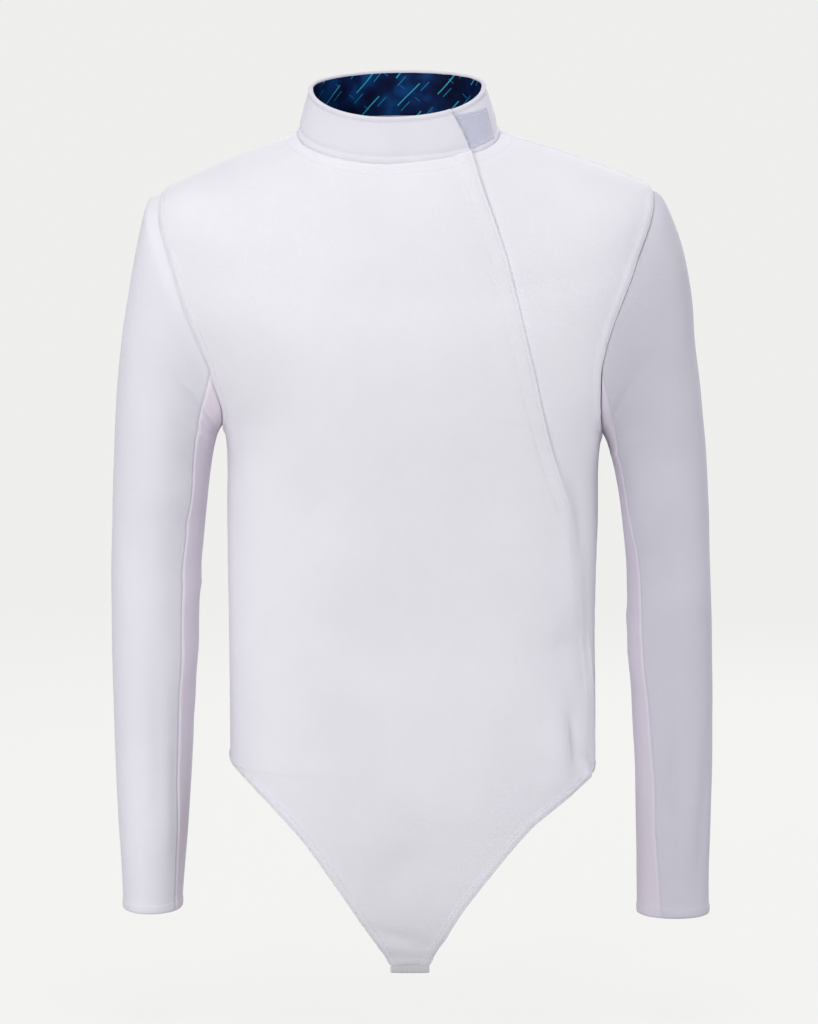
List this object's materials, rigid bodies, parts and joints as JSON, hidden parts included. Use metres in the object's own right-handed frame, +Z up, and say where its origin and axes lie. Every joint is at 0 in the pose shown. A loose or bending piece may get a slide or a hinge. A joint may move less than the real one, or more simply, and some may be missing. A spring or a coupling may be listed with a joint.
{
  "type": "fencing jacket",
  "caption": "Fencing jacket with a stand collar, a front that laps over to one side, long two-piece sleeves and a pointed front on a crotch strap, kept in its worn hollow form.",
  "frame": {"origin": "between the wearer's shoulders, level with the sides of the neck seam, where the jacket is held up", "axes": "+Z up, -Y out of the jacket's front, +X to the wearer's left"},
  "size_m": [0.5417, 0.2279, 0.8116],
  "materials": {
    "white_cloth": "white woven, matt with a faint sheen",
    "white_cloth_under": "white woven, matt",
    "blue_lining": "navy woven with a light dash pattern",
    "loop_tape": "grey-blue loop pile",
    "zip_tape": "white woven tape",
    "strap_webbing": "white webbing"
  },
  "bodies": {
    "root": {"front_right": "white_cloth", "front_left": "white_cloth", "back": "white_cloth", "sleeve_right_upper": "white_cloth", "sleeve_right_under": "white_cloth_under", "sleeve_left_upper": "white_cloth", "sleeve_left_under": "white_cloth_under", "collar": "white_cloth", "collar_lining": "blue_lining", "collar_patch": "loop_tape", "zip": "zip_tape", "crotch_strap": "strap_webbing"}
  },
  "joints": []
}
